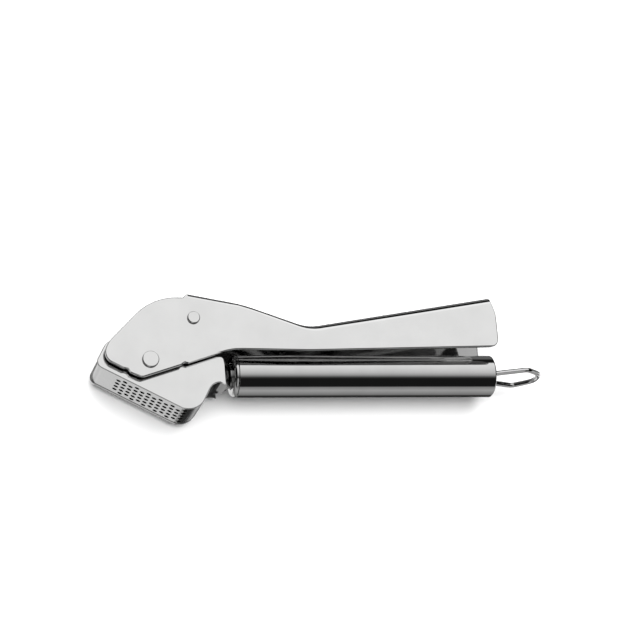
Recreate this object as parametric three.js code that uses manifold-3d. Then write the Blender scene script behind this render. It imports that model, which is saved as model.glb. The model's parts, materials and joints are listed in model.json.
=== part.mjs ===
// Garlic press of folded stainless sheet on a round tube handle, lying on its side.
//
// Press frame while building: X runs along the handle tube towards the hanging loop, with 0 at the
// front of the tube, Y points from the tube to the upper lever, and Z = 0 is the plane of symmetry.
// Head frame: u runs rearwards along the sieve, v points away from its outer face into the hopper.
// The press is moved at the end so that its box stands on Z = 0, centred on X and Y.

import * as THREE from 'three';
import { mergeVertices } from 'three/addons/utils/BufferGeometryUtils.js';
import Module from 'manifold-3d';

const wasm = await Module();
wasm.setup();

// ---------- Driving dimensions, millimetres and degrees ----------

const faceGap = 0.3; // between faces that touch on the real press
const pinGap = 0.15; // radial, between a pin and its hole
const slideGap = 0.35; // beside pieces that slide or swing past each other

const tubeDiameter = 18;
const tubeWall = 1;
const tubeLength = 113.7; // from its front end, where the collar starts, to its rear end
const tubeEndRadius = 0.8;
const collarLength = 1.9;
const collarEdgeRadius = 1.6;
const capThickness = 5;
const capRecess = 0.6; // of the cap's face in the end of the tube
const spigotLength = 7;

const loopWire = 2.2;
const loopDrop = 0.6; // of the loop's plane below the tube's axis
const loopLegWall = 0.6; // of the cap outside the bores for the legs
const loopWidth = 21.4; // between wire centres at the corners
const loopCornerReach = 13.6; // from the tube's end to the corners
const loopReach = 22.7; // from the tube's end to the outside of the tip
const loopTipRadius = 7; // to the wire's centre
const loopTipFlat = 8.6; // between the corners that the tip's arcs round off
const loopBend = 3;
const loopInside = 12; // wire inside the handle
const anchorLength = 4;

const headAngle = -28.2; // of the sieve to the tube
const headX = -50.9; // head frame's origin, on the outer face of the sieve
const headY = -3.7;

const hopperWidth = 19.2; // between the side plates
const hopperFront = -10.9;
const hopperRear = 35.3;
const hopperDepth = 13.6;
const rearCornerRadius = 8.1;
const frontCornerRadius = 2.9;
const plateFront = -11.7; // u of the side plates' front edge
const plateBelow = 0.3; // of the side plates below the sieve
const plateTopRadius = 4;
const plateSheet = 1.2;
const rearWallTop = 25.5; // v
const plateFrontRadius = 3.2;
const plateTop = 5.2; // Y of the side plates' rear top edge
const throatRadius = 4.6;
const throatTop = 13.4; // v where the throat's arc starts
const plateEnd = -7; // X of the side plates' rear edge
const plateEndRadius = 1.6;
const plateTopStart = 2; // u where the side plates' rear top edge starts

const shankSide = 11.4; // height of the shank between the side plates
const shankDiameter = 10.6;
const shankTaperEnd = -3.2; // X where the taper has become round
const shankInset = 1.8; // of the shank from the throat's edge
const shankInside = 9; // of the shank between the side plates
const shankFall = 1.4; // of the shank's front end below the side plates' edge
const shankCorners = 12; // power of its square section; 2 is a circle
// Taper between the side plates and the tube: share of its length, height, share of the full width
// and power of the section.
const shankTaper = [
  [0.35, 11.2, 0.86, 5],
  [0.7, 10.8, 0.68, 3],
];

const traySheet = 0.9;
const trayFrontHeight = 4.6;
const trayRearRise = 0.2; // of the tray's rear end above its bend
const trayEarRadius = 3;
const trayEarCorner = 0.4;
const holeDiameter = 2.1;
const holeColumns = 12;
const holeColumnStep = 2.73;
const holeRowStep = 3.55;
const fewestHoles = 4; // in the odd columns; the even ones have one more

const linkSheet = 1.1;
const linkWidth = 8;
const frontPivot = [-5.9, 8.6]; // u, v
const frontPinDiameter = 3.2;

const leverSheet = 1.9;
const headCornerRadius = 5;
const gripBendRadius = 3.6;
const headBendRadius = 2.2;
const leverEnd = 114; // X of the end of the lever
const webStart = -21.5; // X of the front edge of the lever's web
// Top line of the lever's web from its front edge to beyond its end: X, Y and radius of bend.
const webLine = [
  [webStart, 31.95, 0],
  [2, 27.6, 60],
  [29.3, 17.8, 20],
  [leverEnd + 10.5, 33.9, 0],
];
const webLean = 1.2; // length of the web's sloped front edge for each millimetre of its height
const webBendChange = [18, 40]; // X between which the bend along the web's sides changes
const headTop = [-36.4, 30, 24]; // X, Y and radius of the head plates' top corners
const headBrow = [-55.6, 10.4, 12];
const headNose = [-10.5, 2.6]; // u, v of the head plates' front corner
const headFoot = [8, 2.6]; // u, v of the head plates' lowest corner
const headFootRadius = 3.5;
const gripFoot = [-4.2, 7.3]; // X, Y where the slanted lower edge meets the grip's
const gripFootRadius = 28;
const gripWaist = [30, 6.8, 80]; // X, Y and radius along the grip's lower edge
const gripHeel = [leverEnd, 8.9, 3.5];
const gripEnd = [leverEnd + 0.2, 24, 15];
const gripEndLean = 6.5; // of the grip's end towards the head, up to its top
const leverAbove = 45; // Y safely above the lever
const nibRadius = 2.6; // shallow stamping nibs in the lever's lower edge
const nibDepth = 0.6;
const nibPlaces = [6.8, 19.3]; // from the head's foot, forwards and rearwards

const smallPivot = [16, 36.4]; // u, v
const smallRivetDiameter = 3.4;
const smallRivetHead = 5.3;
const largePivot = [7.8, 11.2]; // u, v
const largeRivetDiameter = 4.6;
const largeRivetHead = 7;
const rivetHeadHeight = 0.8;
const rivetHeadBevel = 0.25;
const sleeveWall = 0.75;

const guideSlack = 0.6; // how far the large rivet wanders along the sieve inside the slots
const plungerSheet = 2.2;
const plungerFront = -2.2;
const plungerLipRise = 0.7; // of the plunger's rear end above its bend
const yokeSheet = 1.2;
const yokeLength = 13;
const yokeEarRadius = 4.4;
const yokeEarCorner = 4;
const studDiameter = 3;
const studHeadDiameter = 5;
const studTopDiameter = 4.2;
const studSpread = 4.8; // between the two studs
const studHeadHeight = 0.8;

const arcError = 0.03; // largest distance from an arc to its chords
const roundSides = 24;
const fineSides = 48;
const holeSides = 12;
const edgeSteps = 5; // chords in a quarter of a rounded edge
const loopSteps = 72;
const roundEnd = 0.98; // share of half a width that rounds an end

// ---------- Sizes that follow from the ones above ----------

const tubeRadius = tubeDiameter / 2;
const tubeBore = tubeRadius - tubeWall;
const collarFront = -faceGap - collarLength;
const plugRadius = tubeBore - faceGap;
const loopBore = loopWire / 2 + faceGap;
const loopLegSpread = 2 * (plugRadius - loopLegWall - loopBore);
const capFace = tubeLength - capRecess;
const capBack = capFace - capThickness;
const anchorFace = capBack - faceGap;
const hopperHalf = hopperWidth / 2;
const plateOuter = hopperHalf + plateSheet;
const linkInner = plateOuter + slideGap;
const linkOuter = linkInner + linkSheet;
const leverInner = linkOuter + slideGap;
const leverOuter = leverInner + leverSheet;
const rivetFace = leverOuter + faceGap + rivetHeadHeight;
const throatEdge = throatTop + throatRadius; // v of the throat's upper edge
const trayHalf = hopperHalf - faceGap;
const trayTop = traySheet;
const trayRearHeight = rearCornerRadius + trayRearRise;
const plungerHalf = hopperHalf - slideGap;
const plungerFace = trayTop + faceGap;
const plungerTop = plungerFace + plungerSheet;
const plungerRear = hopperRear - traySheet - guideSlack - faceGap;
const plungerBend = rearCornerRadius - traySheet - guideSlack - faceGap;
const yokeBase = plungerTop + faceGap;
const yokeOuter = plungerHalf - faceGap;
const bushRadius = largeRivetDiameter / 2 + pinGap + sleeveWall;
const slotHalf = bushRadius + guideSlack + faceGap;

const head = new THREE.Matrix4()
  .makeTranslation(headX, headY, 0)
  .multiply(new THREE.Matrix4().makeRotationZ(THREE.MathUtils.degToRad(headAngle)));

// ---------- Shape helpers ----------

/** Press-frame point of the head-frame point u, v. */
function atHead(u, v) {
  const point = new THREE.Vector3(u, v, 0).applyMatrix4(head);
  return [point.x, point.y];
}

/** Points of a closed outline whose corners [x, y, radius] are rounded by arcs. */
function roundedOutline(corners) {
  const points = [];
  corners.forEach(([x, y, radius], index) => {
    const before = corners.at(index - 1);
    const after = corners[(index + 1) % corners.length];
    const corner = new THREE.Vector2(x, y);
    const back = new THREE.Vector2(before[0] - x, before[1] - y).normalize();
    const ahead = new THREE.Vector2(after[0] - x, after[1] - y).normalize();
    const halfInside = Math.acos(THREE.MathUtils.clamp(back.dot(ahead), -1, 1)) / 2;
    const turn = Math.PI - 2 * halfInside;
    if (!radius) {
      points.push(corner);
      return;
    }
    const toCentre = back.clone().add(ahead).normalize().multiplyScalar(radius / Math.sin(halfInside));
    const centre = corner.clone().add(toCentre);
    const first = corner.clone().addScaledVector(back, radius / Math.tan(halfInside)).sub(centre);
    const way = Math.sign(ahead.cross(back));
    const steps = Math.ceil(turn / (2 * Math.acos(1 - arcError / radius)));
    for (let step = 0; step <= steps; step += 1) {
      const spoke = first.clone().rotateAround(new THREE.Vector2(), (way * turn * step) / steps);
      points.push(centre.clone().add(spoke));
    }
  });
  return points;
}

/** Points of a circle, going round once. */
function circlePoints(x, y, radius, sides = roundSides) {
  return Array.from({ length: sides }, (_, index) => {
    const angle = (2 * Math.PI * index) / sides;
    return new THREE.Vector2(x + radius * Math.cos(angle), y + radius * Math.sin(angle));
  });
}

/** Flat plate between two heights, from outline points and hole outlines. */
function plate(outline, low, high, holes = []) {
  const shape = new THREE.Shape(outline);
  shape.holes = holes.map((points) => new THREE.Path(points));
  const geometry = new THREE.ExtrudeGeometry(shape, { depth: high - low, bevelEnabled: false });
  return geometry.translate(0, 0, low);
}

/** Solid of revolution about the X axis; profile holds [x, radius] pairs and closes on itself. */
function turned(profile, sides = fineSides) {
  const closed = [...profile, profile[0]].map(([x, radius]) => new THREE.Vector2(radius, x));
  return new THREE.LatheGeometry(closed, sides).rotateZ(-Math.PI / 2);
}

/** Round bar or sleeve along Z, centred on x, y. */
function round(x, y, radius, low, high, bore = 0) {
  const holes = bore ? [circlePoints(x, y, bore)] : [];
  return plate(circlePoints(x, y, radius), low, high, holes);
}

/** Manifold solid of a closed geometry. */
function toSolid(geometry) {
  const bare = geometry.clone();
  bare.deleteAttribute('normal');
  bare.deleteAttribute('uv');
  const merged = mergeVertices(bare, 1e-4);
  return new wasm.Manifold(
    new wasm.Mesh({
      numProp: 3,
      vertProperties: new Float32Array(merged.getAttribute('position').array),
      triVerts: new Uint32Array(merged.getIndex().array),
    }),
  );
}

/** Geometry of a manifold solid, with flat normals. */
function toGeometry(solid) {
  const mesh = solid.getMesh();
  const geometry = new THREE.BufferGeometry();
  geometry.setAttribute('position', new THREE.BufferAttribute(mesh.vertProperties, mesh.numProp));
  geometry.setIndex(new THREE.BufferAttribute(mesh.triVerts, 1));
  const flat = geometry.toNonIndexed();
  flat.computeVertexNormals();
  return flat;
}

/** First geometry with all the others joined to it. */
function joined(first, ...others) {
  return toGeometry(others.reduce((solid, other) => solid.add(toSolid(other)), toSolid(first)));
}

/** First geometry with all the others cut from it. */
function cut(first, ...others) {
  return toGeometry(others.reduce((solid, other) => solid.subtract(toSolid(other)), toSolid(first)));
}

/** Solid through sections with equal counts of points, each going round the way ahead anticlockwise. */
function loft(sections) {
  const count = sections[0].length;
  const positions = sections.flat().flatMap((point) => [point.x, point.y, point.z]);
  const faces = [];
  for (let row = 0; row < sections.length - 1; row += 1) {
    for (let column = 0; column < count; column += 1) {
      const a = row * count + column;
      const b = row * count + ((column + 1) % count);
      faces.push(a, b, b + count, a, b + count, a + count);
    }
  }
  const last = (sections.length - 1) * count;
  for (let column = 1; column < count - 1; column += 1) {
    faces.push(0, column + 1, column, last, last + column, last + column + 1);
  }
  const geometry = new THREE.BufferGeometry();
  geometry.setAttribute('position', new THREE.Float32BufferAttribute(positions, 3));
  geometry.setIndex(faces);
  geometry.computeVertexNormals();
  return geometry;
}

// ---------- Materials ----------

/** Polished stainless steel, from mirror bright to satin. */
function steel(roughness, shade = 0xd9dbdd) {
  return new THREE.MeshStandardMaterial({ color: shade, roughness, metalness: 1 });
}

const mirrorFinish = 0.08;
const brightFinish = 0.16;
const satinFinish = 0.32;

/** Named mesh with its own steel. */
function piece(name, geometry, roughness = brightFinish, shade = undefined) {
  const mesh = new THREE.Mesh(geometry, steel(roughness, shade));
  mesh.name = name;
  return mesh;
}

/** The same piece on both sides of the plane of symmetry. */
function pair(name, makeGeometry, roughness) {
  return [
    piece(`left_${name}`, makeGeometry(1), roughness),
    piece(`right_${name}`, makeGeometry(-1), roughness),
  ];
}

/** Plate between two distances from the plane of symmetry, on the given side of it. */
function sidePlate(side, outline, inner, outer, holes) {
  return side > 0 ? plate(outline, inner, outer, holes) : plate(outline, -outer, -inner, holes);
}

// ---------- Handle tube and hanging loop ----------

/** Quarter arc of a turned profile, from the end face at x out to the radius, as [x, radius] pairs. */
function roundedEdge(x, radius, edge, way) {
  return Array.from({ length: edgeSteps + 1 }, (_, index) => {
    const angle = (Math.PI / 2) * (index / edgeSteps);
    return [x + way * edge * (1 - Math.sin(angle)), radius - edge * (1 - Math.cos(angle))];
  });
}

/** Open steel tube with its rear edge rounded. */
function handleTube() {
  return turned([
    [0, tubeBore],
    [0, tubeRadius],
    ...roundedEdge(tubeLength, tubeRadius, tubeEndRadius, -1),
    [tubeLength, tubeBore],
  ]);
}

/** Ring that closes the front of the tube round the shank, with a spigot inside the tube. */
function frontCollar() {
  const bore = shankDiameter / 2 + faceGap;
  const spigot = tubeBore - faceGap;
  return turned([
    [collarFront, bore],
    ...roundedEdge(collarFront, tubeRadius, collarEdgeRadius, 1).reverse(),
    [-faceGap, tubeRadius],
    [-faceGap, spigot],
    [spigotLength, spigot],
    [spigotLength, bore],
  ]);
}

/** Centre line of the loop's wire: two legs inside the handle, two corners, and a round tip. */
function loopPath() {
  const tip = tubeLength + loopReach - loopWire / 2;
  const half = [
    [tubeLength - loopInside, loopLegSpread / 2, 0],
    [tubeLength, loopLegSpread / 2, loopBend],
    [tubeLength + loopCornerReach, loopWidth / 2, loopBend],
    [tip, loopTipFlat / 2, loopTipRadius],
  ];
  const otherHalf = half.map(([x, z, radius]) => [x, -z, radius]).reverse();
  const points = roundedOutline([...half, ...otherHalf]);
  const path = new THREE.CurvePath();
  points.slice(1).forEach((point, index) => {
    const from = new THREE.Vector3(points[index].x, -loopDrop, points[index].y);
    path.add(new THREE.LineCurve3(from, new THREE.Vector3(point.x, -loopDrop, point.y)));
  });
  return path;
}

/** Bent wire loop. */
function hangingLoop() {
  const section = new THREE.Shape(circlePoints(0, 0, loopWire / 2, holeSides));
  return new THREE.ExtrudeGeometry(section, {
    steps: loopSteps,
    extrudePath: loopPath(),
    bevelEnabled: false,
  });
}

/** Plug in the tube from one X to another, with two bores for the loop's legs. */
function loopPlug(from, to) {
  const plug = turned([
    [from, 0],
    [from, plugRadius],
    [to, plugRadius],
    [to, 0],
  ]);
  const bores = [1, -1].map((side) => {
    const bore = new THREE.CylinderGeometry(loopBore, loopBore, 2 * (to - from), holeSides);
    return bore.rotateZ(Math.PI / 2).translate((from + to) / 2, -loopDrop, (side * loopLegSpread) / 2);
  });
  return cut(plug, ...bores);
}

// ---------- Body: side plates, rear wall and neck ----------

/** Outline of a side plate, in the press frame. */
function sidePlateOutline() {
  const throat = atHead(hopperRear, throatEdge);
  const throatFall = (plateEnd - throat[0]) * Math.tan(THREE.MathUtils.degToRad(-headAngle));
  return roundedOutline([
    [...atHead(plateFront, -plateBelow), plateFrontRadius],
    [...atHead(hopperRear, -plateBelow), rearCornerRadius],
    [...throat, throatRadius],
    [plateEnd, throat[1] - throatFall, 0],
    [plateEnd, plateTop, plateEndRadius],
    [atHead(plateTopStart, hopperDepth)[0], plateTop, throatRadius],
    [...atHead(plateFront, hopperDepth), plateTopRadius],
  ]);
}

/** Slot in a side plate for the guide bush, open at the top. */
function bushSlot() {
  const [u, v] = largePivot;
  const above = hopperDepth * 2;
  return roundedOutline([
    [...atHead(u - slotHalf, v - slotHalf), slotHalf * roundEnd],
    [...atHead(u + slotHalf, v - slotHalf), slotHalf * roundEnd],
    [...atHead(u + slotHalf, above), 0],
    [...atHead(u - slotHalf, above), 0],
  ]);
}

/** Side plate of the hopper, with its pivot hole and slot. */
function hopperSide(side) {
  const pivot = atHead(...frontPivot);
  const pivotHole = circlePoints(...pivot, frontPinDiameter / 2 + pinGap);
  const sheet = sidePlate(side, sidePlateOutline(), hopperHalf, plateOuter, [pivotHole]);
  return cut(sheet, plate(bushSlot(), -linkOuter, linkOuter));
}

/** Wall that closes the hopper above the tray's rear end, in the head frame. */
function hopperRearWall() {
  const low = trayRearHeight + faceGap;
  const inner = hopperRear - traySheet;
  const outline = [
    new THREE.Vector2(inner, low),
    new THREE.Vector2(hopperRear, low),
    new THREE.Vector2(hopperRear, rearWallTop),
    new THREE.Vector2(inner, rearWallTop),
  ];
  return plate(outline, -trayHalf, trayHalf);
}

/** Section across the shank at x, between a square one for a high power and a circle for 2. */
function shankSection(x, middle, height, width, power) {
  const bulge = (value) => (Math.sign(value) * Math.abs(value) ** (2 / power)) / 2;
  return Array.from({ length: roundSides }, (_, index) => {
    const angle = (2 * Math.PI * (index + 0.5)) / roundSides;
    return new THREE.Vector3(x, middle + height * bulge(Math.cos(angle)), width * bulge(Math.sin(angle)));
  });
}

/** Waisted neck: flat between the side plates, tapering to a round spigot inside the collar. */
function neckShank() {
  const width = hopperWidth - 2 * faceGap;
  const middle = plateTop - faceGap - shankSide / 2;
  const taperLength = shankTaperEnd - plateEnd;
  const tapering = shankTaper.map(([share, height, widthShare, power]) =>
    shankSection(plateEnd + taperLength * share, middle * (1 - share), height, width * widthShare, power),
  );
  const body = loft([
    shankSection(plateEnd - shankInside, middle - shankFall, shankSide, width, shankCorners),
    shankSection(plateEnd - plateEndRadius, middle, shankSide, width, shankCorners),
    ...tapering,
    shankSection(shankTaperEnd, 0, shankDiameter, shankDiameter, 2),
    shankSection(spigotLength, 0, shankDiameter, shankDiameter, 2),
  ]);
  const far = shankInside * 4;
  const hopper = headBlock(0, hopperRear + faceGap, -far, far);
  const throatCentre = hopperRear + throatRadius;
  const below = headBlock(throatCentre, throatCentre + far, throatTop, throatEdge + shankInset);
  const throat = atHead(throatCentre, throatTop);
  const throatBar = round(...throat, throatRadius + shankInset, -plateOuter, plateOuter);
  return cut(body, hopper, below, throatBar);
}

/** Block across the whole hopper between two u and two v, in the press frame. */
function headBlock(fromU, toU, fromV, toV) {
  const corners = [
    [fromU, fromV],
    [toU, fromV],
    [toU, toV],
    [fromU, toV],
  ];
  const outline = corners.map(([u, v]) => new THREE.Vector2(...atHead(u, v)));
  return plate(outline, -plateOuter, plateOuter);
}

// ---------- Sieve tray, in the head frame ----------

/** Outline of a sheet that runs flat and turns up at its rear, and at its front if it has a height. */
function turnedUpSheet(front, rear, low, sheet, rearRadius, rearHeight, frontRadius, frontHeight) {
  const innerRear = rearRadius - sheet;
  const outer = [
    [rear, low + rearHeight, 0],
    [rear, low, rearRadius],
  ];
  const inner = [
    [rear - sheet, low + sheet, innerRear],
    [rear - sheet, low + rearHeight, 0],
  ];
  if (!frontHeight) {
    return roundedOutline([...outer.reverse(), ...inner.reverse(), [front, low + sheet, 0], [front, low, 0]]);
  }
  return roundedOutline([
    ...outer.reverse(),
    ...inner.reverse(),
    [front + sheet, low + sheet, frontRadius - sheet],
    [front + sheet, low + frontHeight, 0],
    [front, low + frontHeight, 0],
    [front, low, frontRadius],
  ]);
}

/** Bars that punch the sieve's holes; the columns on the rear bend point at the bend's centre. */
function holePunches() {
  const bendStart = hopperRear - rearCornerRadius;
  const punches = [];
  for (let column = 0; column < holeColumns; column += 1) {
    const count = fewestHoles + (column % 2);
    const along = column * holeColumnStep;
    const turn = Math.max(0, along - bendStart) / rearCornerRadius;
    for (let row = 0; row < count; row += 1) {
      const across = (row - (count - 1) / 2) * holeRowStep;
      const punch = new THREE.CylinderGeometry(holeDiameter / 2, holeDiameter / 2, traySheet * 4, holeSides);
      punch.translate(0, -rearCornerRadius, across).rotateZ(turn);
      punches.push(punch.translate(Math.min(along, bendStart), rearCornerRadius, 0));
    }
  }
  return punches;
}

/** Ear that hangs the tray on the front pivot. */
function trayEar(side) {
  const [u, v] = frontPivot;
  const outline = roundedOutline([
    [u - trayEarRadius, traySheet / 2, trayEarCorner],
    [u + trayEarRadius, traySheet / 2, trayEarCorner],
    [u + trayEarRadius, v + trayEarRadius, trayEarRadius * roundEnd],
    [u - trayEarRadius, v + trayEarRadius, trayEarRadius * roundEnd],
  ]);
  const hole = circlePoints(u, v, frontPinDiameter / 2 + pinGap);
  return sidePlate(side, outline, trayHalf - traySheet, trayHalf, [hole]);
}

/** Perforated tray: flat floor, turned-up ends and two ears. */
function sieveTray() {
  const outline = turnedUpSheet(
    hopperFront,
    hopperRear,
    0,
    traySheet,
    rearCornerRadius,
    trayRearHeight,
    frontCornerRadius,
    trayFrontHeight,
  );
  const sheet = joined(plate(outline, -trayHalf, trayHalf), trayEar(1), trayEar(-1));
  return cut(sheet, ...holePunches());
}

// ---------- Plunger, in the head frame ----------

const studPlaces = [
  [largePivot[0] - studSpread / 2, 0],
  [largePivot[0] + studSpread / 2, 0],
];

/** Bar or bore along v at a stud's place. */
function studBar([u, z], radius, low, high) {
  const bar = new THREE.CylinderGeometry(radius, radius, high - low, roundSides);
  return bar.translate(u, (low + high) / 2, z);
}

/** Pressing plate with its rear end turned up to match the tray. */
function plungerPlate() {
  const outline = turnedUpSheet(
    plungerFront,
    plungerRear,
    plungerFace,
    plungerSheet,
    plungerBend,
    plungerBend + plungerLipRise,
    0,
    0,
  );
  const bores = studPlaces.map((place) => studBar(place, studDiameter / 2 + pinGap, 0, yokeBase));
  const sinks = studPlaces.map((place) => {
    const sink = studHeadDiameter / 2 + pinGap;
    return studBar(place, sink, 0, plungerFace + studHeadHeight + faceGap);
  });
  return cut(plate(outline, -plungerHalf, plungerHalf), ...bores, ...sinks);
}

/** Folded bracket: a base on the plate and two ears up to the large rivet. */
function plungerYoke() {
  const [u, v] = largePivot;
  const left = u - yokeLength / 2;
  const right = u + yokeLength / 2;
  const ear = roundedOutline([
    [left, yokeBase, 0],
    [right, yokeBase, 0],
    [u + yokeEarRadius, v + yokeEarRadius, yokeEarCorner],
    [u - yokeEarRadius, v + yokeEarRadius, yokeEarCorner],
  ]);
  const solid = plate(ear, -yokeOuter, yokeOuter);
  const inside = new THREE.BoxGeometry(yokeLength * 2, v * 2, (yokeOuter - yokeSheet) * 2);
  const rivetHole = round(u, v, largeRivetDiameter / 2 + pinGap, -plateOuter, plateOuter);
  const studHoles = studPlaces.map((place) => studBar(place, studDiameter / 2 + pinGap, 0, v));
  return cut(solid, inside.translate(u, yokeBase + yokeSheet + v, 0), rivetHole, ...studHoles);
}

/** Short rivets with a sunk head below the plate and a head on the yoke. */
function plungerStuds() {
  const sunk = plungerFace + studHeadHeight;
  const top = yokeBase + yokeSheet + faceGap;
  const studs = studPlaces.map((place) =>
    joined(
      studBar(place, studDiameter / 2, plungerFace, top + studHeadHeight),
      studBar(place, studHeadDiameter / 2, plungerFace, sunk),
      studBar(place, studTopDiameter / 2, top, top + studHeadHeight),
    ),
  );
  return joined(...studs);
}

// ---------- Rivets, sleeves and links ----------

/** Through rivet with a bevelled head on each side of the lever. */
function throughRivet([x, y], shaft, headDiameter) {
  const base = leverOuter + faceGap;
  const bar = round(x, y, shaft / 2, -base - rivetHeadHeight / 2, base + rivetHeadHeight / 2);
  const heads = [1, -1].map((side) => {
    const radius = headDiameter / 2;
    const disc = (from, size) => circlePoints(x, y, size, fineSides).map(
      (point) => new THREE.Vector3(point.x, point.y, side * from),
    );
    const sections = [
      disc(base, radius),
      disc(rivetFace - rivetHeadBevel, radius),
      disc(rivetFace, radius - rivetHeadBevel),
    ];
    return loft(side > 0 ? sections : sections.reverse());
  });
  return joined(bar, ...heads);
}

/** Flat link from the front pivot to the small rivet. */
function link(side) {
  const from = new THREE.Vector2(...atHead(...frontPivot));
  const to = new THREE.Vector2(...atHead(...smallPivot));
  const along = to.clone().sub(from).normalize().multiplyScalar(linkWidth / 2);
  const across = new THREE.Vector2(-along.y, along.x);
  const corner = (end, way, hand) => {
    const point = end.clone().addScaledVector(along, way).addScaledVector(across, hand);
    return [point.x, point.y, (linkWidth / 2) * roundEnd];
  };
  const ends = [corner(from, -1, 1), corner(from, -1, -1), corner(to, 1, -1), corner(to, 1, 1)];
  const holes = [
    circlePoints(from.x, from.y, frontPinDiameter / 2 + pinGap),
    circlePoints(to.x, to.y, smallRivetDiameter / 2 + pinGap),
  ];
  return sidePlate(side, roundedOutline(ends), linkInner, linkOuter, holes);
}

/** Sleeve on a rivet between two distances from the plane of symmetry. */
function sleeve([x, y], shaft, low, high) {
  const bore = shaft / 2 + pinGap;
  return round(x, y, bore + sleeveWall, low, high, bore);
}

// ---------- Upper lever ----------

/** Corners of the lever seen from the side; its top runs above the web line and is cut back to it. */
function leverOutline() {
  const webTop = webLine[0][1];
  return roundedOutline([
    [...atHead(...headNose), headCornerRadius],
    [...atHead(...headFoot), headFootRadius],
    [...gripFoot, gripFootRadius],
    gripWaist,
    gripHeel,
    gripEnd,
    [gripEnd[0] - gripEndLean, leverAbove, 0],
    [webStart + (leverAbove - webTop) * webLean, leverAbove, 0],
    [webStart - (webTop - headTop[1]) * webLean, headTop[1], 0],
    headTop,
    headBrow,
  ]);
}

/** Points of the web's top line, rounded, with a radius of bend for each. */
function webStations() {
  const closing = [webLine.at(-1)[0], leverAbove * 4, 0];
  const opening = [webStart, leverAbove * 4, 0];
  const points = roundedOutline([...webLine, closing, opening]).slice(0, -2);
  return points.map(({ x, y }) => {
    const share = THREE.MathUtils.smoothstep(x, ...webBendChange);
    return { x, y, bend: THREE.MathUtils.lerp(headBendRadius, gripBendRadius, share) };
  });
}

/** Section of the channel's outside or inside at x: square below, rounded at the top. */
function channelSection({ x, y, bend }, half, inset) {
  const radius = Math.max(bend - inset, slideGap);
  const arc = Array.from({ length: edgeSteps + 1 }, (_, index) => {
    const angle = (Math.PI / 2) * (index / edgeSteps);
    return [half - radius + radius * Math.cos(angle), y - inset - radius + radius * Math.sin(angle)];
  });
  const right = arc.map(([z, height]) => new THREE.Vector3(x, height, z));
  const left = [...arc].reverse().map(([z, height]) => new THREE.Vector3(x, height, -z));
  const feet = [half, -half].map((z) => new THREE.Vector3(x, -leverAbove, z));
  return [feet[0], ...right, ...left, feet[1]].reverse();
}

/** Solid under the channel's top surface; over the head it is open upwards. */
function channelBody(half, inset) {
  const stations = webStations();
  const [{ x, bend }] = stations;
  const open = leverAbove * 2;
  const overHead = [
    { x: x - open, y: open, bend },
    { x: x - arcError, y: open, bend },
  ];
  return loft([...overHead, ...stations].map((station) => channelSection(station, half, inset)));
}

/** Bars that cut the shallow nibs, one in each of the edges that meet at the head's foot. */
function nibCutters() {
  const foot = new THREE.Vector2(...atHead(...headFoot));
  const ends = [atHead(...headNose), gripFoot];
  return ends.map((end, index) => {
    const along = new THREE.Vector2(...end).sub(foot).normalize();
    const outwards = new THREE.Vector2(-along.y, along.x).multiplyScalar(index ? -1 : 1);
    const centre = foot.clone().addScaledVector(along, nibPlaces[index]);
    centre.addScaledVector(outwards, nibRadius - nibDepth);
    return round(centre.x, centre.y, nibRadius, -rivetFace, rivetFace);
  });
}

/** Folded lever: outline prism, trimmed to the rounded top, hollowed, with rivet holes. */
function upperLever() {
  const prism = toSolid(plate(leverOutline(), -leverOuter, leverOuter));
  const trimmed = prism.intersect(toSolid(channelBody(leverOuter, 0)));
  const hollow = trimmed.subtract(toSolid(channelBody(leverInner, leverSheet)));
  const holes = [
    round(...atHead(...largePivot), largeRivetDiameter / 2 + pinGap, -rivetFace, rivetFace),
    round(...atHead(...smallPivot), smallRivetDiameter / 2 + pinGap, -rivetFace, rivetFace),
  ];
  return cut(toGeometry(hollow), ...holes, ...nibCutters());
}

// ---------- Assembly ----------

const large = atHead(...largePivot);
const small = atHead(...smallPivot);
const front = atHead(...frontPivot);
const bushInner = yokeOuter + faceGap;
const bushOuter = leverInner - faceGap;
const sleeveHalf = yokeOuter - yokeSheet - faceGap;
const spacerHalf = linkInner - faceGap;

const handle = new THREE.Group();
handle.add(
  piece('handle_tube', handleTube(), mirrorFinish),
  piece('front_collar', frontCollar(), mirrorFinish),
  piece('end_cap', loopPlug(capBack, capFace), mirrorFinish),
  piece('hanging_loop', hangingLoop(), mirrorFinish),
  piece('loop_anchor', loopPlug(anchorFace - anchorLength, anchorFace), satinFinish),
);

const body = new THREE.Group();
body.add(
  ...pair('side_plate', hopperSide, brightFinish),
  piece('neck_shank', neckShank(), brightFinish),
  piece('front_pivot_pin', round(...front, frontPinDiameter / 2, -linkOuter, linkOuter), satinFinish),
);

const headPieces = new THREE.Group();
headPieces.applyMatrix4(head);
headPieces.add(
  piece('hopper_rear_wall', hopperRearWall(), satinFinish),
  piece('sieve_tray', sieveTray(), satinFinish),
  piece('plunger_plate', plungerPlate(), satinFinish),
  piece('plunger_yoke', plungerYoke(), satinFinish),
  piece('plunger_studs', plungerStuds(), satinFinish),
);

const linkage = new THREE.Group();
linkage.add(
  ...pair('link', link, satinFinish),
  piece('link_rivet', throughRivet(small, smallRivetDiameter, smallRivetHead), brightFinish),
  piece('link_spacer', sleeve(small, smallRivetDiameter, -spacerHalf, spacerHalf), satinFinish),
  piece('plunger_rivet', throughRivet(large, largeRivetDiameter, largeRivetHead), brightFinish),
  piece('plunger_sleeve', sleeve(large, largeRivetDiameter, -sleeveHalf, sleeveHalf), satinFinish),
  piece('left_guide_bush', sleeve(large, largeRivetDiameter, bushInner, bushOuter), satinFinish),
  piece('right_guide_bush', sleeve(large, largeRivetDiameter, -bushOuter, -bushInner), satinFinish),
);

const garlicPress = new THREE.Group();
garlicPress.add(handle, body, headPieces, linkage, piece('upper_lever', upperLever(), mirrorFinish));

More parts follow.
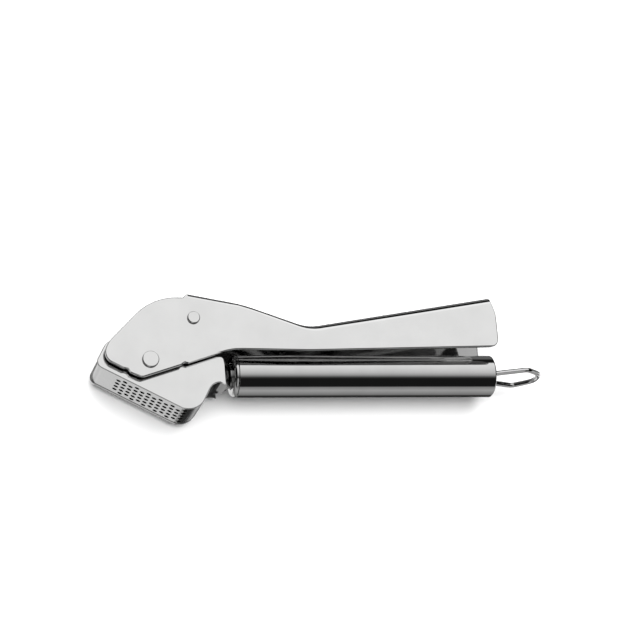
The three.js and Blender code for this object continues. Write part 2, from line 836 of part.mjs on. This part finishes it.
const bounds = new THREE.Box3().setFromObject(garlicPress, true);
const middle = bounds.getCenter(new THREE.Vector3());
garlicPress.position.set(-middle.x, -middle.y, -bounds.min.z);

export default garlicPress;
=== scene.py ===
"""Garlic press of polished stainless steel, lying on its side on a white table."""

import json
import logging
import math
from dataclasses import dataclass
from enum import Enum

import bmesh
import bpy
from mathutils import Matrix, Vector


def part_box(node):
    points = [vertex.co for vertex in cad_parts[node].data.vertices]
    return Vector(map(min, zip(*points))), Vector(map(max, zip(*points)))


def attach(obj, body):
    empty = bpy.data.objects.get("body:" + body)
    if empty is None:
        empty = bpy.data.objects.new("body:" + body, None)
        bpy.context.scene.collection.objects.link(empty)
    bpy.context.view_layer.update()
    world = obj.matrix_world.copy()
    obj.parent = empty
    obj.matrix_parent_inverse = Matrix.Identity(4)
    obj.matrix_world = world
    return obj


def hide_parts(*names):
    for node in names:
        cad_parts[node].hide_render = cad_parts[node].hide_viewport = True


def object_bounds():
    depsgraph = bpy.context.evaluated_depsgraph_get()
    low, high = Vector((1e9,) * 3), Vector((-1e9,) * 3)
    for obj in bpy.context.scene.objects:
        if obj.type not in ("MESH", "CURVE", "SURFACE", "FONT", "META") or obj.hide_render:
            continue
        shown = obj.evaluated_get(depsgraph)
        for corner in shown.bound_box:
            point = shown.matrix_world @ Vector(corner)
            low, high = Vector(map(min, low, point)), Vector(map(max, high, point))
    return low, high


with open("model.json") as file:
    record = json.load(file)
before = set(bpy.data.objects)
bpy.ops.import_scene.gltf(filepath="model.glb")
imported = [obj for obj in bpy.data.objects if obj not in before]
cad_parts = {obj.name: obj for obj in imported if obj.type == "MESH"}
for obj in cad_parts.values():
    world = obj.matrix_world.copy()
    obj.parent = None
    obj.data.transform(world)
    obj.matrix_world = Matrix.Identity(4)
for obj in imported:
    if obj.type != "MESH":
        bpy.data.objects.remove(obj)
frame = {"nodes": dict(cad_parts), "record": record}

LOG = logging.getLogger("garlic_press")
CAD_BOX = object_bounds()
MILLIMETRE = 0.001
FLAT_WALL = 0.9  # least upright share of a flat wall's normal
BODY_OF_NODE = {
    node: body
    for body, nodes in frame["record"]["behaviour"]["bodies"].items()
    for node in nodes
}


class Slot(Enum):
    """Material slots of the record, one of which each finish names."""

    MIRROR = "mirror_steel"
    BRIGHT = "bright_steel"
    SATIN = "satin_steel"


@dataclass(frozen=True)
class Band:
    """One stop of the surroundings' brightness, at an angle in degrees or a direction's share."""

    at: float
    light: float


@dataclass
class NodeSheet:
    """Small helpers that add nodes to one tree."""

    nodes: bpy.types.Nodes
    links: bpy.types.NodeLinks

    def put(self, socket: bpy.types.NodeSocket, value: float | bpy.types.NodeSocket) -> None:
        """Sets a socket to a number or links it.

        Args:
            socket: The input.
            value: A number or the output that feeds it.
        """
        if isinstance(value, bpy.types.NodeSocket):
            self.links.new(value, socket)
        else:
            socket.default_value = value

    def step(self, operation: str, *values: float | bpy.types.NodeSocket) -> bpy.types.NodeSocket:
        """Adds one step of arithmetic.

        Args:
            operation: Its name in the node.
            values: What it works on.

        Returns:
            The result's socket.
        """
        node = self.nodes.new("ShaderNodeMath")
        node.operation = operation
        for socket, value in zip(node.inputs, values):
            self.put(socket, value)
        return node.outputs["Value"]

    def share(
        self,
        value: bpy.types.NodeSocket,
        low: float,
        high: float,
        least: float = 0.0,
        most: float = 1.0,
    ) -> bpy.types.NodeSocket:
        """Goes straight from the least at low to the most at high, and stays there beyond them.

        Args:
            value: What is measured.
            low: Where the result is the least.
            high: Where the result is the most.
            least: The smallest result.
            most: The largest result.

        Returns:
            The result's socket.
        """
        node = self.nodes.new("ShaderNodeMapRange")
        node.inputs["From Min"].default_value = low
        node.inputs["From Max"].default_value = high
        node.inputs["To Min"].default_value = least
        node.inputs["To Max"].default_value = most
        self.put(node.inputs["Value"], value)
        return node.outputs["Result"]

    def blend(
        self,
        share: bpy.types.NodeSocket,
        first: float | bpy.types.NodeSocket,
        second: float | bpy.types.NodeSocket,
    ) -> bpy.types.NodeSocket:
        """Blend from the first value to the second by a share.

        Args:
            share: 0 for the first and 1 for the second.
            first: A number or a socket.
            second: A number or a socket.

        Returns:
            The blend's socket.
        """
        node = self.nodes.new("ShaderNodeMix")
        self.put(node.inputs["Factor"], share)
        self.put(node.inputs["A"], first)
        self.put(node.inputs["B"], second)
        return node.outputs["Result"]

    def bands(
        self, value: bpy.types.NodeSocket, stops: tuple[Band, ...], unit: float = 1.0
    ) -> bpy.types.NodeSocket:
        """Brightness along a value, straight between its bands.

        Args:
            value: What the bands run along.
            stops: The bands in order.
            unit: Size of the bands' unit in the value's own.

        Returns:
            The brightness's socket.
        """
        node = self.nodes.new("ShaderNodeFloatCurve")
        first, last = stops[0].at, stops[-1].at
        brightest = max(stop.light for stop in stops)
        curve = node.mapping.curves[0]
        while len(curve.points) < len(stops):
            curve.points.new(0.5, 0.5)
        for point, stop in zip(curve.points, stops):
            point.location = ((stop.at - first) / (last - first), stop.light / brightest)
            point.handle_type = "VECTOR"
        node.mapping.update()
        self.put(node.inputs["Value"], self.share(value, first * unit, last * unit))
        return self.step("MULTIPLY", node.outputs["Value"], brightest)

    def noise(
        self, place: bpy.types.NodeSocket, per_metre: float, detail: float
    ) -> bpy.types.NodeSocket:
        """Adds a soft random pattern.

        Args:
            place: Where on the piece it is read.
            per_metre: How fine it is.
            detail: How many finer patterns are added to it.

        Returns:
            The pattern's socket.
        """
        node = self.nodes.new("ShaderNodeTexNoise")
        node.inputs["Scale"].default_value = per_metre
        node.inputs["Detail"].default_value = detail
        self.links.new(place, node.inputs["Vector"])
        return node.outputs["Fac"]

    def relief(
        self,
        height: bpy.types.NodeSocket,
        depth: float,
        over: bpy.types.NodeSocket | None = None,
    ) -> bpy.types.NodeSocket:
        """Adds a fine relief to the surface.

        Args:
            height: The pattern that it follows.
            depth: How deep it is, in millimetres.
            over: An earlier relief that it lies on.

        Returns:
            The normal's socket.
        """
        node = self.nodes.new("ShaderNodeBump")
        node.inputs["Strength"].default_value = 1.0
        node.inputs["Distance"].default_value = depth * MILLIMETRE
        self.links.new(height, node.inputs["Height"])
        if over:
            self.links.new(over, node.inputs["Normal"])
        return node.outputs["Normal"]


@dataclass(frozen=True)
class SteelFinish:
    """One way of polishing stainless steel."""

    name: str
    slot: Slot
    shade: float = 0.8
    tint: tuple[float, float, float] = (1.0, 1.0, 0.995)
    shade_swing: float = 0.02
    roughness: float = 0.05
    roughness_swing: float = 0.03
    grain_per_metre: tuple[float, float, float] = (60.0, 2500.0, 2500.0)
    grain_detail: float = 4.0
    grain_depth: float = 0.004
    smear_per_metre: float = 90.0
    smear_detail: float = 3.0
    smear_span: tuple[float, float] = (0.3, 0.7)
    dullest_at: float = 0.5
    wave_per_metre: float = 45.0
    wave_depth: float = 0.0

    def colour(self, lift: float) -> tuple[float, float, float, float]:
        """Shade of the steel, made lighter by lift.

        Args:
            lift: What is added to the shade, from 0 to 1.

        Returns:
            Red, green, blue and alpha.
        """
        red, green, blue = (min(1.0, part * (self.shade + lift)) for part in self.tint)
        return (red, green, blue, 1.0)

    def material(self) -> bpy.types.Material:
        """Steel with polishing grain, faint smears and a slight wave in its sheet.

        Returns:
            The material, made once for each finish.
        """
        known = bpy.data.materials.get(self.name)
        if known:
            return known
        steel = bpy.data.materials.new(self.name)
        steel.use_nodes = True
        nodes, links = steel.node_tree.nodes, steel.node_tree.links
        sheet = NodeSheet(nodes, links)
        shader = nodes["Principled BSDF"]
        shader.inputs["Metallic"].default_value = 1.0
        place = nodes.new("ShaderNodeTexCoord").outputs["Object"]

        stretch = nodes.new("ShaderNodeMapping")
        stretch.inputs["Scale"].default_value = self.grain_per_metre
        links.new(place, stretch.inputs["Vector"])
        grain = sheet.noise(stretch.outputs["Vector"], 1.0, self.grain_detail)
        smear = sheet.noise(place, self.smear_per_metre, self.smear_detail)

        dullness = sheet.step("MULTIPLY", grain, smear)
        smoothest = max(0.0, self.roughness - self.roughness_swing)
        roughest = self.roughness + self.roughness_swing
        rough = sheet.share(dullness, 0.0, self.dullest_at, smoothest, roughest)
        links.new(rough, shader.inputs["Roughness"])

        ramp = nodes.new("ShaderNodeValToRGB")
        lifts = (-self.shade_swing, self.shade_swing)
        for end, position, lift in zip(ramp.color_ramp.elements, self.smear_span, lifts):
            end.position = position
            end.color = self.colour(lift)
        links.new(smear, ramp.inputs["Fac"])
        links.new(ramp.outputs["Color"], shader.inputs["Base Color"])

        scratches = sheet.relief(grain, self.grain_depth)
        waves = sheet.noise(place, self.wave_per_metre, 0.0)
        swell = sheet.relief(waves, self.wave_depth, over=scratches)
        links.new(swell, shader.inputs["Normal"])
        return steel


TUBE_POLISH = SteelFinish("tube_polish", Slot.MIRROR, shade=0.63, roughness_swing=0.02)
RING_POLISH = SteelFinish("ring_polish", Slot.MIRROR, shade=0.64, roughness=0.06)
WIRE_POLISH = SteelFinish("wire_polish", Slot.MIRROR, shade=0.75, roughness=0.07)
SHEET_POLISH = SteelFinish("sheet_polish", Slot.MIRROR, roughness=0.06, wave_depth=0.05)
# Darker steel for the lever's inside faces: painted shade of the closed channel.
INNER_SHEET_PAINTED_SHADE = SteelFinish("inner_sheet_painted_shade", Slot.MIRROR, shade=0.42, roughness=0.06)
PLATE_POLISH = SteelFinish("plate_polish", Slot.BRIGHT, roughness=0.07)
RIVET_POLISH = SteelFinish("rivet_polish", Slot.BRIGHT, roughness=0.07)
SIEVE_SATIN = SteelFinish(
    "sieve_satin", Slot.SATIN, shade=0.66, roughness=0.2, roughness_swing=0.05
)
# Near-black steel for the sieve's hole walls: painted shade inside the holes.
HOLE_WALL_PAINTED_SHADE = SteelFinish("hole_wall_painted_shade", Slot.SATIN, shade=0.12, roughness=0.4)
# Polished steel made dark as painted shade, for the neck under the lever.
NECK_POLISH_PAINTED_SHADE = SteelFinish("neck_polish_painted_shade", Slot.BRIGHT, shade=0.28, roughness=0.12)
# Darker steel for the side plates' inner faces: painted shade between the plates.
INNER_PLATE_PAINTED_SHADE = SteelFinish("inner_plate_painted_shade", Slot.BRIGHT, shade=0.3, roughness=0.15)
INNER_SATIN = SteelFinish(
    "inner_satin", Slot.SATIN, shade=0.55, roughness=0.3, roughness_swing=0.08
)


@dataclass
class SteelPiece:
    """A piece of the press with broken edges and true normals, in the place of its solid."""

    node: str
    finish: SteelFinish
    edge: float = 0.15
    steps: int = 2
    fold: float = 35.0
    weld: float = 0.05
    cautious: bool = True
    sliver: float = 62.0
    flat_within: float = 0.3
    face_weight: int = 90

    def mesh(self) -> bpy.types.Mesh:
        """Mesh of the solid with its flat faces whole.

        Returns:
            The new mesh.
        """
        shape = bmesh.new()
        shape.from_mesh(frame["nodes"][self.node].data)
        bmesh.ops.remove_doubles(shape, verts=shape.verts, dist=self.weld * MILLIMETRE)
        bmesh.ops.dissolve_limit(
            shape,
            angle_limit=math.radians(self.flat_within),
            verts=shape.verts,
            edges=shape.edges,
        )
        bmesh.ops.recalc_face_normals(shape, faces=shape.faces)
        self.choose_edges(shape)
        mesh = bpy.data.meshes.new(self.node + "_steel")
        shape.to_mesh(mesh)
        shape.free()
        mesh.shade_smooth()
        mesh.set_sharp_from_angle(angle=math.radians(self.fold))
        mesh.materials.append(self.finish.material())
        return mesh

    def choose_edges(self, shape: bmesh.types.BMesh) -> None:
        """Weighs the folded edges for breaking, without those at a fine step or a sliver.

        Args:
            shape: The piece's mesh.
        """
        weights = shape.edges.layers.float.new("bevel_weight_edge")
        least = math.radians(self.fold)
        folded = {edge for edge in shape.edges if edge.calc_face_angle(0.0) > least}
        tight = set()
        if not self.cautious:
            tight = {corner for corner in shape.verts if self.is_tight(corner, folded)}
        for edge in folded:
            edge[weights] = 0.0 if tight.intersection(edge.verts) else 1.0

    def is_tight(self, corner: bmesh.types.BMVert, folded: set[bmesh.types.BMEdge]) -> bool:
        """Whether a broken edge would run out of the solid at a corner.

        Args:
            corner: One of the mesh's corners.
            folded: The edges that are to be broken.

        Returns:
            True where a folded edge is very short or two of them lie close together.
        """
        edges = [edge for edge in corner.link_edges if edge in folded]
        ways = [edge.other_vert(corner).co - corner.co for edge in edges]
        if any(way.length < self.edge * MILLIMETRE for way in ways):
            return True
        least = math.radians(self.sliver)
        return any(a.angle(b) < least for at, a in enumerate(ways) for b in ways[at + 1 :])

    def build(self) -> bpy.types.Object:
        """Makes the piece and hangs it on its body.

        Returns:
            The new object.
        """
        piece = bpy.data.objects.new(self.node + "_steel", self.mesh())
        bpy.context.scene.collection.objects.link(piece)
        if self.edge:
            bevel = piece.modifiers.new("broken_edges", "BEVEL")
            bevel.width = self.edge * MILLIMETRE
            bevel.segments = self.steps
            bevel.limit_method = "WEIGHT"
            bevel.use_clamp_overlap = self.cautious
            bevel.harden_normals = True
        normals = piece.modifiers.new("true_normals", "WEIGHTED_NORMAL")
        normals.keep_sharp = True
        normals.weight = self.face_weight
        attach(piece, BODY_OF_NODE[self.node])
        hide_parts(self.node)
        LOG.info("%s: %d faces", piece.name, len(piece.data.polygons))
        return piece


def paint_shade_inside(piece: bpy.types.Object, finish: SteelFinish) -> None:
    """Gives a piece's flat faces that look at the middle of the press a darker finish, as painted
    shade.

    Args:
        piece: The piece's object.
        finish: The darker finish, painted shade, that those faces get.
    """
    piece.data.materials.append(finish.material())
    middle = (CAD_BOX[0].z + CAD_BOX[1].z) / 2
    for face in piece.data.polygons:
        # Inward flat walls get the darker second finish: painted shade inside the press.
        looks_in = (face.center.z - middle) * face.normal.z < 0
        if looks_in and abs(face.normal.z) > FLAT_WALL:
            face.material_index = 1


@dataclass
class Handle:
    """Round tube handle with its two ends and the hanging loop."""

    ring_edge: float = 0.12
    wire_fold: float = 50.0

    def build(self) -> None:
        """Builds the tube, the collar, the cap, the loop and its anchor."""
        SteelPiece("handle_tube", TUBE_POLISH, edge=self.ring_edge).build()
        SteelPiece("front_collar", RING_POLISH, edge=self.ring_edge).build()
        SteelPiece("end_cap", RING_POLISH, edge=self.ring_edge).build()
        SteelPiece("hanging_loop", WIRE_POLISH, edge=0.0, fold=self.wire_fold).build()
        SteelPiece("loop_anchor", INNER_SATIN).build()


@dataclass
class Hopper:
    """Side plates, neck, rear wall, front pin and the sieve tray."""

    plate_edge: float = 0.4
    plate_steps: int = 3
    neck_edge: float = 0.08
    pin_edge: float = 0.2
    largest_hole_face: float = 0.8

    def build(self) -> None:
        """Builds the body of the hopper and its tray."""
        for node in ("left_side_plate", "right_side_plate"):
            plate = SteelPiece(
                node,
                PLATE_POLISH,
                edge=self.plate_edge,
                steps=self.plate_steps,
                cautious=False,
            )
            # The plates' inner faces get painted shade.
            paint_shade_inside(plate.build(), INNER_PLATE_PAINTED_SHADE)
        # The neck's darkness is painted shade.
        SteelPiece("neck_shank", NECK_POLISH_PAINTED_SHADE, edge=self.neck_edge).build()
        SteelPiece("hopper_rear_wall", INNER_SATIN).build()
        SteelPiece("front_pivot_pin", INNER_SATIN, edge=self.pin_edge).build()
        self.paint_shade_in_holes(SteelPiece("sieve_tray", SIEVE_SATIN, edge=0.0).build())

    def paint_shade_in_holes(self, tray: bpy.types.Object) -> None:
        """Gives the walls of the sieve's holes a dark finish, as painted shade in the holes.

        Args:
            tray: The tray's object.
        """
        # Small faces, the hole walls, get painted shade.
        tray.data.materials.append(HOLE_WALL_PAINTED_SHADE.material())
        for face in tray.data.polygons:
            if face.area < self.largest_hole_face * MILLIMETRE**2:
                face.material_index = 1


@dataclass
class Rivet:
    """Rivet with a softly rounded head at both ends."""

    node: str
    edge: float = 0.3
    steps: int = 3
    fold: float = 25.0

    def build(self) -> None:
        """Builds the rivet."""
        piece = SteelPiece(
            self.node, RIVET_POLISH, edge=self.edge, steps=self.steps, fold=self.fold
        )
        piece.build()


@dataclass
class Linkage:
    """Two links, their rivet and its spacer."""

    edge: float = 0.12

    def build(self) -> None:
        """Builds the links with their rivet and spacer."""
        for node in ("left_link", "right_link", "link_spacer"):
            SteelPiece(node, INNER_SATIN, edge=self.edge).build()
        Rivet("link_rivet").build()


@dataclass
class Lever:
    """Folded lever, bright outside and darker inside from painted shade, with the large rivet and
    what it carries.
    """

    edge: float = 0.45
    steps: int = 3
    weld: float = 0.12

    def build(self) -> None:
        """Builds the lever, the large rivet, its sleeve and its two bushes."""
        lever = SteelPiece(
            "upper_lever",
            SHEET_POLISH,
            edge=self.edge,
            steps=self.steps,
            weld=self.weld,
            cautious=False,
        )
        # The lever's inside faces get painted shade.
        paint_shade_inside(lever.build(), INNER_SHEET_PAINTED_SHADE)
        Rivet("plunger_rivet").build()
        for node in ("plunger_sleeve", "left_guide_bush", "right_guide_bush"):
            SteelPiece(node, INNER_SATIN).build()


@dataclass
class Plunger:
    """Pressing plate with its yoke and studs."""

    edge: float = 0.2

    def build(self) -> None:
        """Builds the plate, the yoke and the two studs."""
        for node in ("plunger_plate", "plunger_yoke", "plunger_studs"):
            SteelPiece(node, INNER_SATIN, edge=self.edge).build()


@dataclass(frozen=True)
class SoftLamp:
    """Square soft lamp aimed at the press, which the polished steel doesn't mirror."""

    name: str
    place: tuple[float, float, float]
    size: float
    energy: float

    def build(self) -> bpy.types.Object:
        """Hangs the lamp.

        Returns:
            The lamp's object.
        """
        light = bpy.data.lights.new(self.name, "AREA")
        light.size = self.size
        light.energy = self.energy
        lamp = bpy.data.objects.new(self.name, light)
        lamp.location = self.place
        lamp.rotation_euler = (-Vector(self.place)).to_track_quat("-Z", "Y").to_euler()
        lamp.visible_glossy = False
        bpy.context.scene.collection.objects.link(lamp)
        return lamp


@dataclass
class Studio:
    """White table, soft light from the lever's side, a dark screen in front, and the camera."""

    table_size: float = 30.0
    table_white: float = 0.9
    camera_from_tube: tuple[float, float, float] = (-0.19696, -0.27588, 0.81867)
    camera_right: tuple[float, float, float] = (0.9653, -0.0834, 0.2476)
    camera_up: tuple[float, float, float] = (-0.0070, 0.9390, 0.3438)
    lens: float = 118.1
    sensor: float = 36.0
    nearest: float = 0.01
    farthest: float = 100.0
    lamps: tuple[SoftLamp, ...] = (
        SoftLamp("side_lamp", place=(0.05, 0.3, 1.5), size=1.7, energy=40.0),
        SoftLamp("front_lamp", place=(0.0, -0.6, 1.6), size=2.0, energy=12.0),
    )
    round_handle: tuple[Band, ...] = (
        Band(-180, 0.05),
        Band(-150, 0.05),
        Band(-143, 0.22),
        Band(-102, 0.5),
        Band(-80, 0.3),
        Band(-75, 0.012),
        Band(-32, 0.012),
        Band(-26, 0.036),
        Band(-21, 0.12),
        Band(-16, 0.27),
        Band(-10.8, 0.455),
        Band(-5.5, 0.57),
        Band(0, 0.69),
        Band(5, 0.76),
        Band(16, 0.88),
        Band(27, 0.97),
        Band(45, 1.08),
        Band(60, 1.11),
        Band(66, 0.012),
        Band(88, 0.012),
        Band(97, 0.16),
        Band(140, 0.16),
        Band(150, 0.08),
        Band(180, 0.05),
    )
    screen: tuple[Band, ...] = (
        Band(-82, 0.0),
        Band(-70, 1.0),
        Band(-34, 1.0),
        Band(-24, 0.0),
    )
    beside_screen: float = 0.45
    screen_end: tuple[float, float] = (0.0, 0.07)
    horizon: tuple[float, float] = (-0.02, 0.02)
    table_mirrored: tuple[float, float] = (146.0, 152.0)
    along_sky: tuple[Band, ...] = (
        Band(-0.5, 0.01),
        Band(-0.4, 1.0),
        Band(0.58, 1.0),
        Band(0.68, 0.01),
    )
    along_floor: tuple[Band, ...] = (
        Band(-0.6, 0.3),
        Band(-0.45, 0.6),
        Band(-0.25, 0.9),
        Band(-0.13, 0.74),
        Band(0.0, 0.6),
        Band(0.06, 0.1),
        Band(0.12, 0.03),
        Band(0.34, 0.03),
        Band(0.4, 0.9),
        Band(0.5, 1.0),
    )

    def table(self) -> bpy.types.Object:
        """Plain white table under the press.

        Returns:
            The table's object.
        """
        shape = bmesh.new()
        bmesh.ops.create_grid(shape, x_segments=1, y_segments=1, size=self.table_size / 2)
        mesh = bpy.data.meshes.new("table")
        shape.to_mesh(mesh)
        shape.free()
        paint = bpy.data.materials.new("table_white")
        paint.use_nodes = True
        shader = paint.node_tree.nodes["Principled BSDF"]
        shader.inputs["Base Color"].default_value = (*[self.table_white] * 3, 1.0)
        shader.inputs["Roughness"].default_value = 1.0
        shader.inputs["Specular IOR Level"].default_value = 0.0
        mesh.materials.append(paint)
        table = bpy.data.objects.new("table", mesh)
        table.visible_glossy = False
        bpy.context.scene.collection.objects.link(table)
        return table

    def world(self) -> bpy.types.World:
        """Soft light over the press, dark screens round it, and the table as the steel shows it.

        Returns:
            The world.
        """
        world = bpy.data.worlds.new("studio")
        world.use_nodes = True
        nodes, links = world.node_tree.nodes, world.node_tree.links
        backdrop = nodes["Background"]
        sheet = NodeSheet(nodes, links)
        place = nodes.new("ShaderNodeTexCoord")
        split = nodes.new("ShaderNodeSeparateXYZ")
        links.new(place.outputs["Generated"], split.inputs["Vector"])
        along, across, height = (split.outputs[axis] for axis in "XYZ")
        angle = sheet.step("ARCTAN2", across, height)
        wide = sheet.step("ABSOLUTE", angle)
        round_it = sheet.bands(angle, self.round_handle, math.radians(1))
        over_press = sheet.bands(along, self.along_sky)
        under_press = sheet.bands(along, self.along_floor)
        is_sky = sheet.share(height, *self.horizon)
        is_under = sheet.share(wide, *map(math.radians, self.table_mirrored))
        sky_share = sheet.blend(is_sky, 1.0, over_press)
        beside = sheet.blend(sheet.share(along, *self.screen_end), self.beside_screen, 0.0)
        screen = sheet.bands(angle, self.screen, math.radians(1))
        round_it = sheet.step("MAXIMUM", round_it, sheet.step("MULTIPLY", screen, beside))
        light = sheet.blend(is_under, sheet.step("MULTIPLY", round_it, sky_share), under_press)
        links.new(light, backdrop.inputs["Strength"])
        backdrop.inputs["Color"].default_value = (1.0, 1.0, 1.0, 1.0)

        plain = nodes.new("ShaderNodeBackground")
        rays = nodes.new("ShaderNodeLightPath")
        mix = nodes.new("ShaderNodeMixShader")
        links.new(rays.outputs["Is Camera Ray"], mix.inputs["Fac"])
        links.new(backdrop.outputs["Background"], mix.inputs[1])
        links.new(plain.outputs["Background"], mix.inputs[2])
        plain.inputs["Color"].default_value = (1.0, 1.0, 1.0, 1.0)
        links.new(mix.outputs["Shader"], nodes["World Output"].inputs["Surface"])
        bpy.context.scene.world = world
        return world

    def camera(self) -> bpy.types.Object:
        """Camera above and in front of the head, looking down the handle.

        Returns:
            The camera's object.
        """
        lens = bpy.data.cameras.new("camera")
        lens.lens = self.lens
        lens.sensor_width = self.sensor
        lens.clip_start = self.nearest
        lens.clip_end = self.farthest
        camera = bpy.data.objects.new("camera", lens)
        right = Vector(self.camera_right).normalized()
        up = Vector(self.camera_up)
        back = right.cross(up).normalized()
        up = back.cross(right)
        turn = Matrix((right, up, back)).transposed()
        low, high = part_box("handle_tube")
        tube_front = Vector((low.x, (low.y + high.y) / 2, (low.z + high.z) / 2))
        place = tube_front + Vector(self.camera_from_tube)
        camera.matrix_world = Matrix.Translation(place) @ turn.to_4x4()
        bpy.context.scene.collection.objects.link(camera)
        bpy.context.scene.camera = camera
        return camera

    def build(self) -> None:
        """Builds the table, the light and the camera."""
        self.table()
        self.world()
        for lamp in self.lamps:
            lamp.build()
        self.camera()
        bpy.context.scene.view_settings.view_transform = "Standard"


def main() -> None:
    """Builds the press and its studio in order."""
    logging.basicConfig(level=logging.INFO, format="%(name)s: %(message)s")
    for assembly in (Handle(), Hopper(), Linkage(), Lever(), Plunger(), Studio()):
        assembly.build()
        LOG.info("built %s", type(assembly).__name__)


if __name__ == "__main__":
    main()
